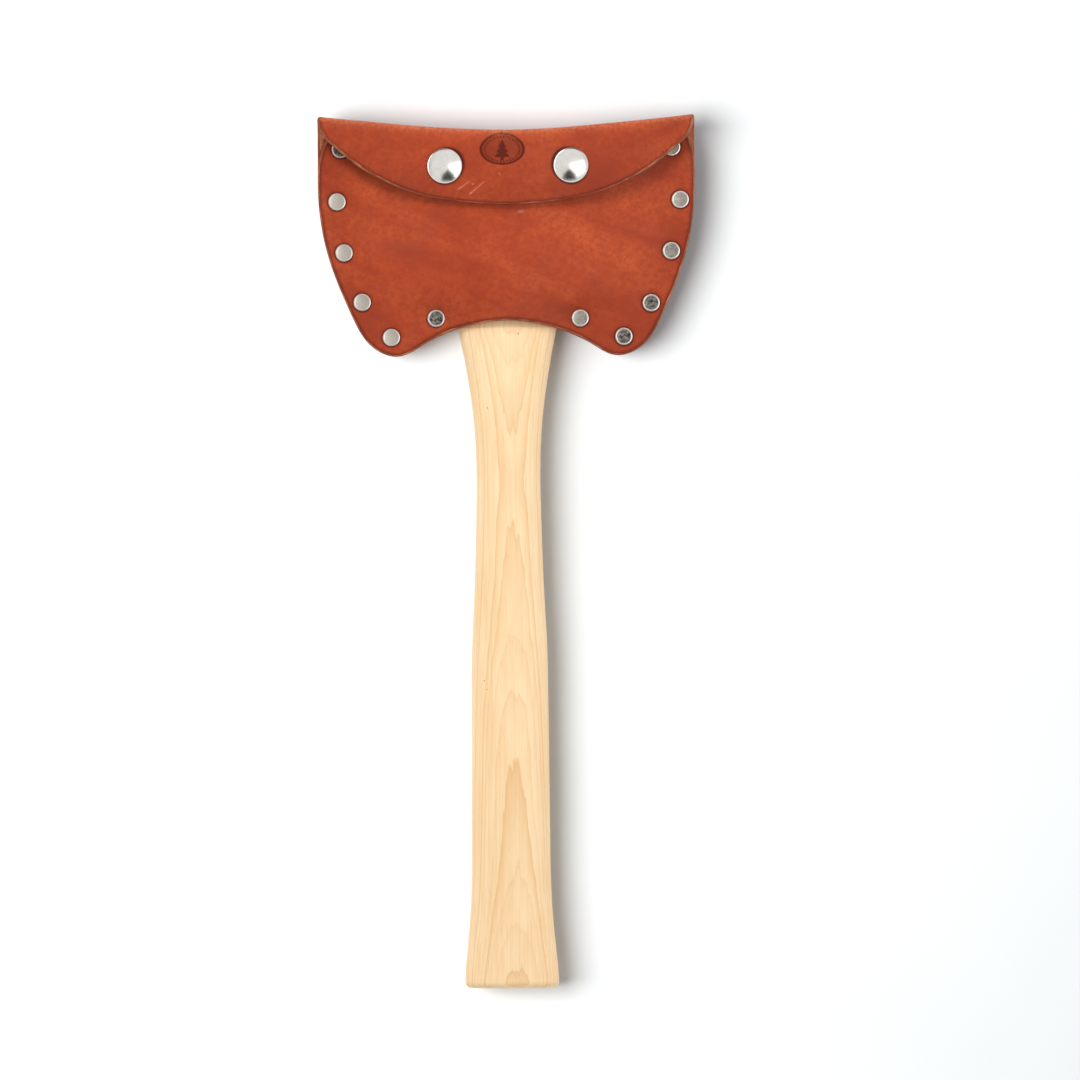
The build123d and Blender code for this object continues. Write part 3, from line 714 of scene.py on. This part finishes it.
def hickory(name, light, line, levels):
    """Flat-sawn pale wood. Growth rings lie nearly flat in the handle and crop out on its crown as tall
    peaks; levels is how many rings deep the middle of the wood is at each height, so each peak comes where
    that passes a ring."""
    ring, bow, peaks = 1.5, 0.0095, 20
    tall, deep = 400, 10
    s = Shader(name, specular_ior_level=0.3)
    at = s.rest()
    x, y, z = s.millimetres(at)
    y = s.maths("SUBTRACT", y, SHIFT[1])
    z = s.maths("SUBTRACT", z, SHIFT[2])
    curve = s.node("FloatCurve", Value=s.maths("DIVIDE", y, tall))
    points = curve.mapping.curves[0].points
    while len(points) < len(levels):
        points.new(0.5, 0.5)
    for point, (height, level) in zip(points, levels):
        point.location = (height / tall, level / deep)
    curve.mapping.update()
    depth = s.maths("MULTIPLY", curve.outputs[0], deep)
    wave = s.noise(s.mapped(at, (45, 8, 45)), 1, 3, 0.55)
    drift = s.noise(s.mapped(at, (170, 42, 170), move=(3, 1, 2)), 1, 2, 0.5)
    middle = s.maths("SUBTRACT", x, s.maths("MULTIPLY_ADD", wave, 9.0, -1.0))
    depth = s.maths("ADD", depth, s.maths("DIVIDE", z, ring))
    depth = s.maths("SUBTRACT", depth, s.maths("MULTIPLY", s.maths("MULTIPLY", middle, middle), bow))
    depth = s.maths("ADD", depth, s.maths("MULTIPLY_ADD", wave, 1.1, -0.55))
    depth = s.maths("ADD", depth, s.maths("MULTIPLY_ADD", drift, 0.36, -0.18))
    streaks = s.noise(s.mapped(at, (640, 13, 640)), 1, 3, 0.6)
    depth = s.maths("ADD", depth, s.maths("MULTIPLY_ADD", streaks, 0.5, -0.25))
    phase = s.maths("FRACT", depth)
    chance = np.random.default_rng(11).uniform(0, 0.85, peaks)
    chance[12] = 1.0
    stops = [(i / peaks, (v, v, v)) for i, v in enumerate(chance)]
    each = s.ramp(s.maths("DIVIDE", depth, peaks), *stops)
    each.node.color_ramp.interpolation = "CONSTANT"
    start = s.levels(phase, 0.0, 0.07)
    line_width = s.maths("MULTIPLY", start, s.levels(phase, 0.24, 0.05))
    fade = s.maths("MULTIPLY", start, s.levels(phase, 0.9, 0.05))
    body = s.noise(s.mapped(at, (150, 26, 150)), 1, 4, 0.6)
    colour = s.mix(s.levels(body, 0.32, 0.72, 0, 0.8), light, line)
    peak = s.maths("MULTIPLY", fade, s.levels(each, 0.2, 0.95, 0.18, 0.85))
    colour = s.mix(peak, colour, srgb(241, 198, 146))
    thin = s.maths("MULTIPLY", line_width, s.levels(each, 0.1, 0.9, 0.12, 0.34))
    colour = s.mix(thin, colour, srgb(230, 178, 122))
    fibre = s.noise(s.mapped(at, (1250, 14, 1250)), 1, 3, 0.6)
    colour = s.mix(s.levels(fibre, 0.42, 0.72, 0, 0.34), colour, srgb(236, 188, 134))
    pores = s.noise(s.mapped(at, (3000, 150, 3000)), 1, 1, 0.5)
    colour = s.mix(s.levels(pores, 0.66, 0.80, 0, 0.30), colour, srgb(206, 158, 108))
    for speck_x, speck_y, radius in WOOD_SPECKS:
        place = s.node("CombineXYZ", X=s.maths("SUBTRACT", x, speck_x), Y=s.maths("SUBTRACT", y, speck_y))
        away = s.node("VectorMath", {"operation": "LENGTH"}, i0=place.outputs[0]).outputs["Value"]
        spot = s.maths("MULTIPLY", s.levels(away, radius, radius * 0.4, 0, 0.6), s.levels(z, 0, 1))
        colour = s.mix(spot, colour, srgb(110, 92, 70))
    height = s.maths("ADD", fibre, s.maths("MULTIPLY", pores, -0.6))
    return s.finish(colour, s.levels(fibre, 0.3, 0.7, 0.44, 0.58), s.bump(height, 0.00006, 0.5))


# (height up the handle, how many rings deep)
HANDLE_RINGS = [
    (0, 8.4), (11, 7.94), (30, 7.11), (54, 6.2), (109, 5.23), (140, 4.29), (165, 3.33), (215, 2.45),
    (229, 2.22), (243, 2.46), (270, 3.1), (286, 3.7), (297, 4.6), (306, 5.4), (400, 6.0),
]
WEDGE_RINGS = [(0, 1), (330, 2), (392, 9)]


# ---------------------------------------------------------------- pieces
def sheath_side():
    """The right side of the outline, from the end of the straight to the top of the arch."""
    return spline([(SHEATH_HALF, SIDE_STRAIGHT), *OUTLINE, (0, ARCH_TOP)], (0, -1), (-1, 0))


def outline_front():
    """The front panel, whose left top corner is lower than its right one."""
    halves = []
    for start in CORNER_STARTS:
        angles = np.linspace(math.asin((FRONT_TOP - start) / CORNER_R), 0, 20)
        corner = []
        for a in angles:
            corner.append((SHEATH_HALF - CORNER_R + CORNER_R * math.cos(a), start + CORNER_R * math.sin(a)))
        halves.append(np.vstack([corner, sheath_side()]))
    right, left = halves
    return np.vstack([right, mirrored(left)[1:]])


def seam_line():
    """Where the back panel and the flap join, at the top of the fold, left to right."""
    xs = np.linspace(FOLD_CORNER[0][0], -FOLD_CORNER[0][0], 140)[::-1]
    return np.column_stack([xs, wrap_middle(xs)])


def fold_corner(way):
    """The worn corner right of the seam, up the leather (way = 1) or down it (way = -1)."""
    return [(x, float(wrap_middle(np.array([x]))[0]) + way * along) for x, along in FOLD_CORNER[1:]]


def outline_back():
    """The back panel and its half of the fold, as (x, length)."""
    side = sheath_side()
    lower = np.vstack([fold_corner(-1), side, mirrored(side)[1:], mirrored(fold_corner(-1))])
    return np.vstack([seam_line(), lower])


def outline_flap():
    """The flap and its half of the fold, as (x, length)."""
    edge = spline(FLAP_EDGE, None, (-1, 0))
    half = np.column_stack([edge[:, 0], wrap_length(edge[:, 0], edge[:, 1])])
    marks = wrap_marks(np.array([SHEATH_HALF]))
    corner = [(SHEATH_HALF, float(marks.strip_end[0] * 0.6 + marks.flap_start[0] * 0.4))]
    right = np.vstack([fold_corner(1), corner, half])
    return np.vstack([seam_line(), right, mirrored(right)[1:]])


def on_seam(points):
    """Which pattern points lie where the back panel and the flap join."""
    return np.abs(points[:, 1] - wrap_middle(points[:, 0])) < 0.05


def falloff(points, spots, width):
    """1 at each round spot (x, y, radius), fading out over a width round it."""
    near = np.zeros(len(points))
    for x, y, r in spots:
        away = np.maximum(np.hypot(points[:, 0] - x, points[:, 1] - y) - r, 0)
        near = np.maximum(near, np.exp(-(away / width) ** 2))
    return near


def dimples(points, spots, depth, width):
    """Leather drawn down round each metal piece, with a faint raised lip outside."""
    total = np.zeros(len(points))
    for x, y, r in spots:
        d = np.hypot(points[:, 0] - x, points[:, 1] - y) - r
        total -= depth * np.exp(-(np.maximum(d, 0) / width) ** 2)
        total += 0.12 * depth * np.exp(-((d - 2.2 * width) / width) ** 2)
    return total


def stamp_depth(x, y):
    """A plain oval stamp with a conifer in it, pressed into the flap."""
    u, v = (x - STAMP[0]) / STAMP_HALF[0], (y - STAMP[1]) / STAMP_HALF[1]
    r = np.hypot(u, v)
    oval = 1 - smooth_step(r, 0.95, 1.0)
    rim = smooth_step(r, 0.83, 0.87) * (1 - smooth_step(r, 0.93, 0.97))
    tree = np.zeros(len(x))
    px, py = x - STAMP[0], y - STAMP[1]
    for base, tip, half in ((-3.4, 0.6, 3.6), (-1.2, 2.6, 2.8), (1.0, 4.8, 1.9)):
        up = (py - base) / (tip - base)
        width = half * (1 - up)
        tree = np.maximum(tree, (up > 0) * (up < 1) * smooth_step(width - np.abs(px), 0, 0.35))
    tree = np.maximum(tree, (np.abs(px) < 0.6) * (py > -4.9) * (py < -3.3))
    turn = np.arctan2(v, u) * 17 / math.pi
    bead = np.hypot((r - 0.74) * 8.5, (turn - np.round(turn)) * 1.5)
    beads = 1 - smooth_step(bead, 0.25, 0.55)
    return oval * 0.14 + rim * 0.26 + np.maximum(tree, beads) * oval * 0.26


def flap_xy(points):
    """(x, y) in the sheath's frame of pattern points on the flap."""
    marks = wrap_marks(points[:, 0])
    return points[:, 0], (marks.top - FRONT_BEND) - (points[:, 1] - marks.flap_start)


def on_flap(x, y):
    """The pattern point at (x, y) on the flap."""
    return x, float(wrap_length(np.array([x]), np.array([y]))[0])


# each from (x, y) to (x, y), with a width and a strength
SCRATCHES = [
    (-21.2, 359.7, -16.6, 362.8, 0.38, 1.3), (-16.3, 357.4, -9.9, 362.6, 0.32, 1.3),
    (-14.8, 361.8, -14.7, 361.9, 0.36, 1.4), (-3.4, 366.4, -1.8, 365.2, 0.26, 0.8),
    (14.2, 380.2, 20.6, 381.6, 0.3, 0.3), (34.0, 377.0, 34.5, 377.3, 0.3, 0.6),
    (59.5, 382.6, 59.7, 382.8, 0.5, 0.6), (-37.0, 376.0, -36.6, 376.3, 0.4, 0.5),
]


def scuffs(x, y):
    """Short light scratches and specks on the flap, strongest at their lower end."""
    total = np.zeros(len(x))
    for x0, y0, x1, y1, width, strength in SCRATCHES:
        d = np.array([x1 - x0, y1 - y0])
        t = np.clip(((x - x0) * d[0] + (y - y0) * d[1]) / (d @ d), 0, 1)
        away = np.hypot(x - x0 - t * d[0], y - y0 - t * d[1])
        total = np.maximum(total, np.exp(-(away / width) ** 2) * (1 - 0.6 * t) * strength)
    return total


def fold_wear(points):
    """The dye rubbed lighter along the top of the fold."""
    past = points[:, 1] - wrap_marks(points[:, 0]).strip_end
    away = np.maximum(past - 1.6, 0)
    rubbed = 0.4 * np.exp(-(away / 1.0) ** 2) + 0.22 * np.exp(-(away / 2.6) ** 2)
    return rubbed * smooth_step(past, -4.0, -0.5)


def paint_leather(obj, pattern, outline, metal_shade_and_stamp, scuffed, seam=None):
    """Stores what the grain's material reads: painted shade round the metal with the darker pressed stamp,
    nearness to the cut edge, and scuffing.
    """
    store(obj, "metal_shade_and_stamp", metal_shade_and_stamp)
    cut = resampled(outline, 0.8)
    if seam:
        cut = cut[~seam(cut)]
    rim = np.maximum(edge_distance(pattern, cut) - 1.0, 0)
    store(obj, "near_edge", np.maximum(0.75 * np.exp(-(rim / 0.8) ** 2), 0.2 * np.exp(-(rim / 18) ** 2)))
    store(obj, "scuffed", scuffed)


RIVET_SPOTS = [(x, y, RIVET_R) for x, y in RIVETS]
RIVET_PATCHES = [(x, y, 6.5, 0.7) for x, y in RIVETS]


def panel_relief(p):
    """How far a panel's grain side is drawn in at the rivets and swells between them."""
    return dimples(p, RIVET_SPOTS, 0.38, 1.3) + 0.16 * lumps(p[:, 0], p[:, 1], 17, 3)


def hollow_relief(p):
    """The panel's relief where it goes inward, for the back, which lies on the floor."""
    return np.minimum(panel_relief(p), 0)


def make_front(materials):
    """The front panel, with a nick in its grain."""
    outline = outline_front()
    patches = RIVET_PATCHES + [(*NICK, 3.0, 0.35)]
    front, pattern = leather("front_leather", outline, front_place, 1, materials, patches, panel_relief)
    # painted shade in a dark ring round each rivet
    paint_leather(front, pattern, outline, falloff(pattern, RIVET_SPOTS, 0.55), np.zeros(len(pattern)))
    x, y = pattern[:, 0] - NICK[0], pattern[:, 1] - NICK[1]
    store(front, "nicked", 0.75 * np.exp(-(x / 1.3) ** 2 - ((y - 0.15 * x) / 0.5) ** 2))
    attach(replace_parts(front, "front_panel"), "sheath")


def make_back(materials):
    """The back panel and the lower half of the fold."""
    outline = outline_back()
    back, pattern = leather(
        "back_leather", outline, wrap_place, -1, materials, RIVET_PATCHES, hollow_relief, on_seam)
    # painted shade in a dark ring round each rivet
    metal_shade_and_stamp = falloff(pattern, RIVET_SPOTS, 0.55)
    paint_leather(back, pattern, outline, metal_shade_and_stamp, fold_wear(pattern), on_seam)
    turning(back)
    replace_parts(back, "back_panel")


def make_flap(materials):
    """The flap and the upper half of the fold, with the stamp pressed in."""
    outline = outline_flap()
    _, snap_length = on_flap(*SNAP)
    snaps = [(SNAP[0], snap_length, CAP_R), (SNAP_LEFT_SHIFT - SNAP[0], snap_length, CAP_R)]
    patches = [(x, length, 10.5, 0.7) for x, length, _ in snaps]
    patches += [(*on_flap(*STAMP), 11.2, 0.34), (*on_flap(*SCRATCHED), 6.5, 0.3)]

    def relief(p):
        x, y = flap_xy(p)
        raised = dimples(p, snaps, 0.3, 1.4) - stamp_depth(x, y)
        return raised + 0.1 * lumps(x, y, 15, 5) - 0.1 * scuffs(x, y)

    def edge(p):
        return 0.85 + 0.6 * smooth_step(np.abs(p[:, 0]), 35, 78)

    flap, pattern = leather(
        "flap_leather", outline, wrap_place, -1, materials, patches, relief, on_seam, edge)
    x, y = flap_xy(pattern)
    pressed = np.clip(stamp_depth(x, y) / 0.36, 0, 1)
    # painted shade in a dark ring round each snap cap, with the pressed stamp darker
    metal_shade_and_stamp = np.maximum(falloff(pattern, snaps, 0.5), 0.95 * pressed)
    scuffed = np.maximum(scuffs(x, y), fold_wear(pattern))
    paint_leather(flap, pattern, outline, metal_shade_and_stamp, scuffed, on_seam)
    turning(flap)
    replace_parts(flap, "flap", "flap_fold")


def turning(obj):
    """Bakes obj's placement into its mesh points."""
    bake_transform(obj)


def snap_place(side):
    """Puts a turned cap, its seat at height 0, on the flap's outer face, leaning outward as that does."""
    turn = math.radians(CAP_LEAN) * side
    c, s = math.cos(turn), math.sin(turn)
    seat_x, seat_z = CAP_SEAT
    shift = 0 if side > 0 else SNAP_LEFT_SHIFT

    def place(p):
        x, z = c * p[:, 0] + s * p[:, 2], -s * p[:, 0] + c * p[:, 2]
        y = p[:, 1] + SNAP[1]
        return np.column_stack([x + side * seat_x + shift, y, z + seat_z + FLAP_SLOPE * shift])
    return place


def make_caps(material):
    """Domed snap caps with a rolled rim and the hollow barrel that goes through the flap."""
    rise, rim, roll = 2.45, 0.55, 0.38
    r = CAP_R - 0.45
    sphere = (r * r + (rise - rim) ** 2) / (2 * (rise - rim))
    reach = math.asin(r / sphere)
    profile = []
    for a in np.linspace(0, reach * 0.985, 18):
        profile.append((sphere * math.sin(a), rise - sphere + sphere * math.cos(a)))
    for a in np.linspace(60, -90, 9):
        t = math.radians(a)
        profile.append((CAP_R - roll + roll * math.cos(t), roll + roll * math.sin(t)))
    barrel, flare, bore, foot = 2.25, 2.9, 1.8, -3.5
    profile += [
        (CAP_R - 1.2, 0.2), (barrel, 0.3), (barrel, foot), (flare, foot), (flare, foot - 0.2),
        (bore, foot - 0.2), (bore, 0.5), (0, 0.5),
    ]
    for side, name in ((1, "right"), (-1, "left")):
        cap = lathe(f"snap_dome_{name}", profile, 72, material, snap_place(side))
        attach(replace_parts(cap, f"snap_cap_{name}"), "flap")


def make_rivets(material):
    """Dished rivets with a rounded rim, twelve in front with their shanks and twelve caps behind."""
    seat = RIM + THICK - 0.4
    top, shoulder, dish = 1.12, 0.45, 3.25
    head = [(0, top - 0.12), (dish - 0.3, top - 0.11), (dish, top - 0.03), (dish + 0.15, top)]
    for a in np.linspace(80, 0, 8):
        t = math.radians(a)
        head.append((RIVET_R - shoulder + shoulder * math.cos(t), top - shoulder + shoulder * math.sin(t)))
    head += [(RIVET_R, 0.25), (RIVET_R - 0.15, 0)]
    grip = 2 * seat
    posts = head + [(1.6, 0), (1.6, -grip - 0.5), (0, -grip - 0.5)]
    caps = head + [(1.65, 0), (1.65, 0.7), (0, 0.7)]
    centres = np.array(RIVETS)
    sides = (("rivet_fronts", "rivet_posts", posts, 1), ("rivet_backs", "rivet_caps", caps, -1))
    for name, node, profile, side in sides:
        lean = np.random.default_rng(5).normal(0, 0.012, centres.shape)

        def place(p, lean=lean, side=side):
            out = []
            for (x, y), (lean_x, lean_y) in zip(centres, lean):
                z = p[:, 2] + lean_x * p[:, 0] + lean_y * p[:, 1]
                out.append(np.column_stack([x + p[:, 0], y + side * p[:, 1], side * (seat + z)]))
            return np.vstack(out)
        obj = lathe(name, profile, 40, material, place, len(centres))
        at = np.array([v.co for v in obj.data.vertices])[:, :2] / MM - SHIFT[:2]
        away = np.linalg.norm(at[:, None] - centres[None], axis=2)
        store(obj, "face", 1 - smooth_step(away.min(1), dish - 0.25, dish + 0.1))
        # each rivet's darkness: tarnish, with painted shade and painted reflection
        store(obj, "tarnish_and_shade", np.array(TARNISH_AND_SHADE)[away.argmin(1)])
        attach(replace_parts(obj, node), "sheath")


def dress(node, material):
    """A CAD node that keeps its own shape and gets its final material."""
    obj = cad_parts[node]
    obj.data.materials.clear()
    obj.data.materials.append(material)
    obj.data.polygons.foreach_set("material_index", np.zeros(len(obj.data.polygons), np.int32))


def make_solids():
    """Final materials for the wood, the steel, the welts and the snaps, and new rivets and caps."""
    bright = cap_nickel()
    dress("handle", hickory("hickory", srgb(255, 226, 182), srgb(250, 213, 163), HANDLE_RINGS))
    dress("wooden_wedge", hickory("wedge_wood", srgb(222, 178, 130), srgb(204, 156, 108), WEDGE_RINGS))
    dress("axe_head", forged_steel())
    dress("steel_wedge", plain_steel())
    make_rivets(rivet_nickel())
    welt = welt_leather()
    brass = spring_brass()
    for side in ("left", "right"):
        dress(f"welt_{side}", welt)
        dress(f"snap_spring_{side}", brass)
        for piece in ("socket", "stud", "eyelet"):
            dress(f"snap_{piece}_{side}", bright)
    make_caps(bright)


# ---------------------------------------------------------------- stage
def plate(name, corners, material):
    """One flat face with its corners in metres."""
    mesh = bpy.data.meshes.new(name)
    mesh.from_pydata(corners, [], [list(range(len(corners)))])
    mesh.materials.append(material)
    obj = bpy.data.objects.new(name, mesh)
    bpy.context.scene.collection.objects.link(obj)
    return obj


def make_stage():
    """A pale floor, and a dark card overhead that the camera can't see but the metal reflects."""
    s = Shader("floor_paper", specular_ior_level=0.1)
    tone = s.noise(s.rest(), 8, 2)
    paper = s.finish(s.ramp(tone, (0.3, (0.725, 0.745, 0.75)), (0.7, (0.745, 0.765, 0.77))), 0.9)
    size = 3.0
    corners = [(-size, -size, 0), (size, -size, 0), (size, size, 0), (-size, size, 0)]
    floor = plate("floor", corners, paper)
    black = Shader("dark_card", specular_ior_level=0.0).finish((0.01, 0.01, 0.01, 1), 1.0)
    corners = [(0.12, -0.04), (0.44, -0.36), (0.68, -1.02), (-0.54, -1.02), (-0.30, -0.36), (0.0, -0.04)]
    card = plate("dark_card", [(x, y, 1.0) for x, y in corners], black)
    card.visible_camera = False
    return floor


def area_light(name, place, target, size, watts, shape="ELLIPSE"):
    """A soft light at place, aimed at target; all in metres."""
    data = bpy.data.lights.new(name, "AREA")
    data.shape = shape
    data.size, data.size_y = size
    data.energy = watts
    light = bpy.data.objects.new(name, data)
    light.location = place
    light.rotation_euler = (Vector(target) - Vector(place)).to_track_quat("-Z", "Y").to_euler()
    bpy.context.scene.collection.objects.link(light)
    return light


def only_on(light, lit):
    """Keeps a light to some objects, so that the floor, the snaps and the rest can each have their own."""
    group = bpy.data.collections.new(f"{light.name}_lights")
    for obj in lit:
        group.objects.link(obj)
    light.light_linking.receiver_collection = group


def make_lights(floor):
    """A soft even sky, and lights for the hatchet, its snaps and the floor."""
    world = bpy.data.worlds.new("studio")
    world.use_nodes = True
    background = world.node_tree.nodes["Background"]
    background.inputs["Color"].default_value = (1, 1, 1, 1)
    background.inputs["Strength"].default_value = 0.58
    bpy.context.scene.world = world
    solid = [o for o in bpy.context.scene.objects if o.type == "MESH" and o != floor]
    snaps = [o for o in solid if o.name.startswith("snap_")]
    plain = [o for o in solid if o not in snaps]
    only_on(area_light("key", (0.9, -0.1, 1.35), (0, 0.1, 0), (1.5, 1.5), 8.8), plain)
    above = (1.29, -0.19, 1.53)
    snap_light = area_light("snap_light", above, (1.29, -0.19, 0), (2.1, 1.6), 11.5, "RECTANGLE")
    snap_light.rotation_euler = (0, 0, math.radians(15))
    only_on(snap_light, snaps)
    only_on(area_light("snap_sky", (0, 0.17, 1.7), (0, 0.17, 0), (5, 5), 19, "RECTANGLE"), snaps)
    fill = area_light("fill", (-1.4, -0.3, 0.9), (0, 0, 0), (1.2, 1.2), 2.6)
    fill.visible_glossy = False
    only_on(fill, plain)
    top_light = area_light("top_light", (-0.45, 1.25, 1.5), (0, 0.1, 0), (0.8, 0.8), 17)
    top_light.visible_glossy = False
    only_on(top_light, solid)
    only_on(area_light("floor_light", (-1.35, 0.0, 2.1), (0, 0, 0), (1.6, 2.2), 86), [floor])


def make_camera():
    """Straight down through a long lens, turned a touch so that the hatchet leans a little."""
    centre = (0.0140, 0.0051, 0.014)
    distance, view_width = 8.0, 0.4862
    data = bpy.data.cameras.new("camera")
    data.sensor_width = 36
    data.lens = data.sensor_width * distance / view_width
    data.clip_end = 20
    camera = bpy.data.objects.new("camera", data)
    camera.location = (centre[0], centre[1], centre[2] + distance)
    camera.rotation_euler = (0, 0, math.radians(-0.42))
    bpy.context.scene.collection.objects.link(camera)
    bpy.context.scene.camera = camera
    bpy.context.scene.view_settings.view_transform = "Standard"


leathers = [leather_grain(), leather_edge(), leather_flesh()]
make_front(leathers)
make_back(leathers)
make_flap(leathers)
make_solids()
make_lights(make_stage())
make_camera()
